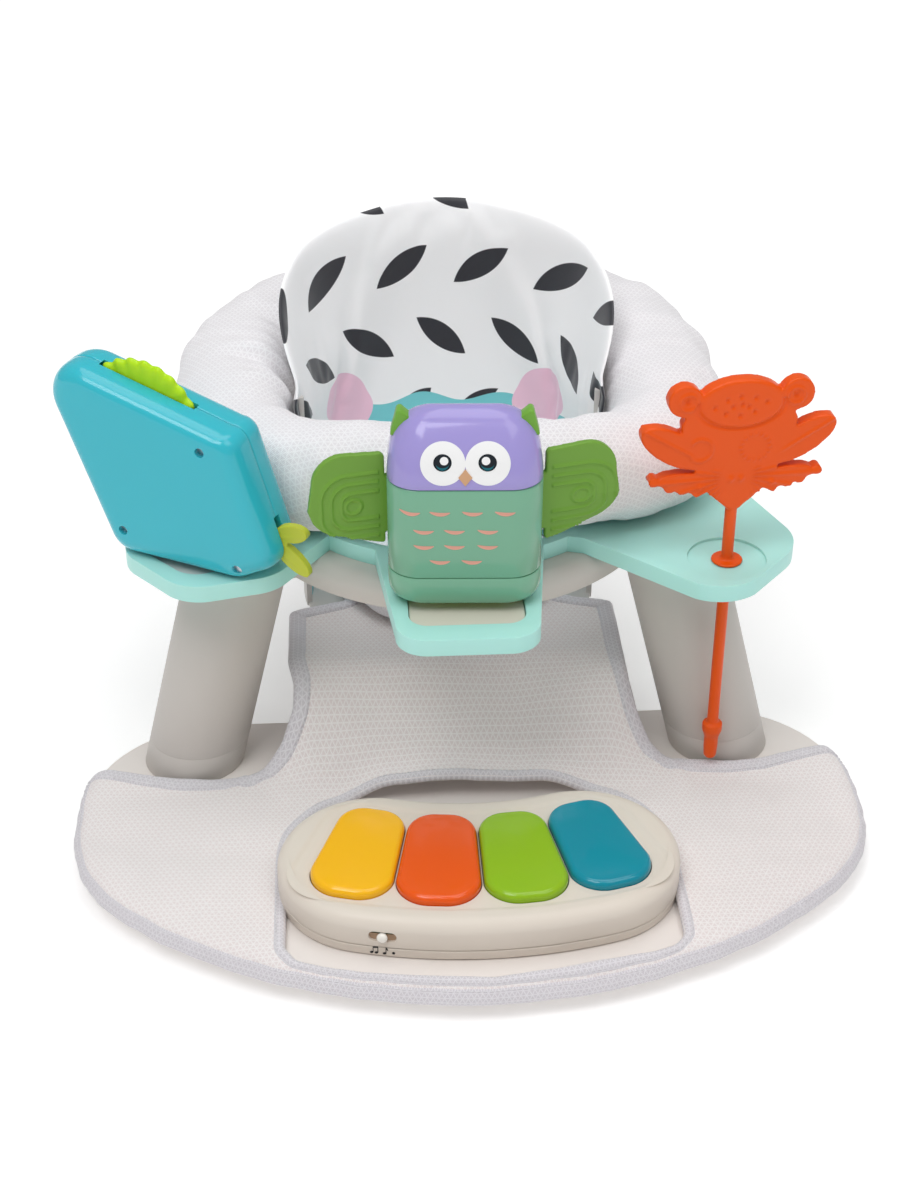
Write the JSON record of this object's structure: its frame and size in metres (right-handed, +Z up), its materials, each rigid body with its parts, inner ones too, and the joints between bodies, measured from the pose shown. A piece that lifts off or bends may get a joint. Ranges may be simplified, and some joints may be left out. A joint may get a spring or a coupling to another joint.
{
  "type": "baby floor seat with toy tray and foot piano",
  "caption": "Round padded floor seat on two leaning legs, with a wraparound back, a tray of owl, fish and frog toys, a floor mat and a foot piano.",
  "frame": {"origin": "on the floor, at the centre of the whole seat's footprint box", "axes": "+X to the viewer's right (the seated child's left), +Y from the foot mat towards the back pad, +Z up; -Y is the front"},
  "size_m": [0.53, 0.5594, 0.35],
  "materials": {
    "base_grey": "fine moulded texture",
    "leg_grey": "satin moulded",
    "mint_plastic": "satin gloss",
    "ring_plastic": "satin",
    "insert_grey": "fine texture",
    "insert_cream": "fine texture",
    "rubber_grey": "matte",
    "steel": "zinc plated",
    "fabric_lattice": "woven, fine printed lattice",
    "fabric_pad": "smooth woven, printed",
    "cream_plastic": "glossy",
    "yellow_plastic": "glossy",
    "orange_plastic": "glossy",
    "green_plastic": "glossy",
    "teal_plastic": "glossy",
    "silicone_grey": "soft matte",
    "board": "solder mask",
    "dark_plastic": "matte",
    "cell_wrap": "printed sleeve, plain",
    "owl_foot": "satin",
    "owl_green": "glossy",
    "owl_purple": "glossy",
    "leaf_green": "soft satin rubber",
    "eye_white": "printed disc",
    "beak_tan": "satin",
    "fish_blue": "glossy",
    "lime_plastic": "satin",
    "tail_green": "soft satin rubber",
    "frog_orange": "soft satin silicone"
  },
  "bodies": {
    "seat": {"base_plate": "base_grey", "base_feet": "rubber_grey", "leg_foot_left": "leg_grey", "leg_foot_right": "leg_grey", "leg_left": "leg_grey", "leg_right": "leg_grey", "leg_screws": "steel", "seat_ring": "ring_plastic", "frame_screws": "steel", "seat_tub": "ring_plastic", "tub_screws": "steel", "toy_tray": "mint_plastic", "tray_screws": "steel", "fish_insert": "insert_grey", "owl_insert": "insert_cream", "ring_bolster": "fabric_lattice", "backrest_pad": "fabric_pad", "seat_cushion": "fabric_lattice", "seat_panel": "fabric_lattice", "foot_mat": "fabric_lattice", "piano_lower_case": "cream_plastic", "piano_upper_case": "cream_plastic", "key_membrane": "silicone_grey", "circuit_board": "board", "speaker": "dark_plastic", "batteries": "cell_wrap", "battery_contacts": "steel", "battery_door": "cream_plastic", "battery_door_screw": "steel", "switch_body": "dark_plastic", "piano_screws": "steel", "owl_foot": "owl_foot", "owl_base": "owl_green", "owl_body": "owl_green", "owl_head": "owl_purple", "owl_ears": "leaf_green", "owl_eyes": "eye_white", "owl_beak": "beak_tan", "owl_wing_pins": "steel", "owl_screws": "steel", "fish_back_shell": "fish_blue", "fish_front_shell": "fish_blue", "fish_axle": "steel", "fish_tail_pin": "steel", "fish_screws": "steel"},
    "key_yellow_body": {"key_yellow": "yellow_plastic"},
    "key_orange_body": {"key_orange": "orange_plastic"},
    "key_green_body": {"key_green": "green_plastic"},
    "key_teal_body": {"key_teal": "teal_plastic"},
    "switch_slider": {"mode_switch": "cream_plastic"},
    "wing_left": {"owl_wing_left": "leaf_green"},
    "wing_right": {"owl_wing_right": "leaf_green"},
    "wheel": {"fish_wheel": "lime_plastic"},
    "tail": {"fish_tail": "tail_green"},
    "frog": {"frog_teether": "frog_orange"}
  },
  "joints": [
    {"name": "key_yellow_press", "type": "slide", "parent": "seat", "child": "key_yellow_body", "axis": [0, 0, -1], "range_m": [0, 0.0025], "stiffness_N_per_m": 600, "springref_m": -0.001},
    {"name": "key_orange_press", "type": "slide", "parent": "seat", "child": "key_orange_body", "axis": [0, 0, -1], "range_m": [0, 0.0025], "stiffness_N_per_m": 600, "springref_m": -0.001},
    {"name": "key_green_press", "type": "slide", "parent": "seat", "child": "key_green_body", "axis": [0, 0, -1], "range_m": [0, 0.0025], "stiffness_N_per_m": 600, "springref_m": -0.001},
    {"name": "key_teal_press", "type": "slide", "parent": "seat", "child": "key_teal_body", "axis": [0, 0, -1], "range_m": [0, 0.0025], "stiffness_N_per_m": 600, "springref_m": -0.001},
    {"name": "mode_switch_slide", "type": "slide", "parent": "seat", "child": "switch_slider", "axis": [0.9816, -0.1908, 0], "range_m": [-0.005, 0.005]},
    {"name": "owl_wing_left_flap", "type": "hinge", "parent": "seat", "child": "wing_left", "pos_m": [-0.04894, -0.09445, 0.265], "axis": [0, 0, 1], "range_deg": [-35, 5]},
    {"name": "owl_wing_right_flap", "type": "hinge", "parent": "seat", "child": "wing_right", "pos_m": [0.03894, -0.09905, 0.265], "axis": [0, 0, 1], "range_deg": [-35, 5]},
    {"name": "fish_wheel_spin", "type": "hinge", "parent": "seat", "child": "wheel", "pos_m": [-0.20792, -0.0313, 0.2933], "axis": [-0.4695, -0.8829, 0], "continuous": true},
    {"name": "fish_tail_swing", "type": "hinge", "parent": "seat", "child": "tail", "pos_m": [-0.13199, -0.07167, 0.2293], "axis": [-0.4695, -0.8829, 0], "range_deg": [-15, 15]},
    {"name": "frog_lift", "type": "slide", "parent": "seat", "child": "frog", "axis": [0, 0, 1], "range_m": [0, 0.121]}
  ]
}
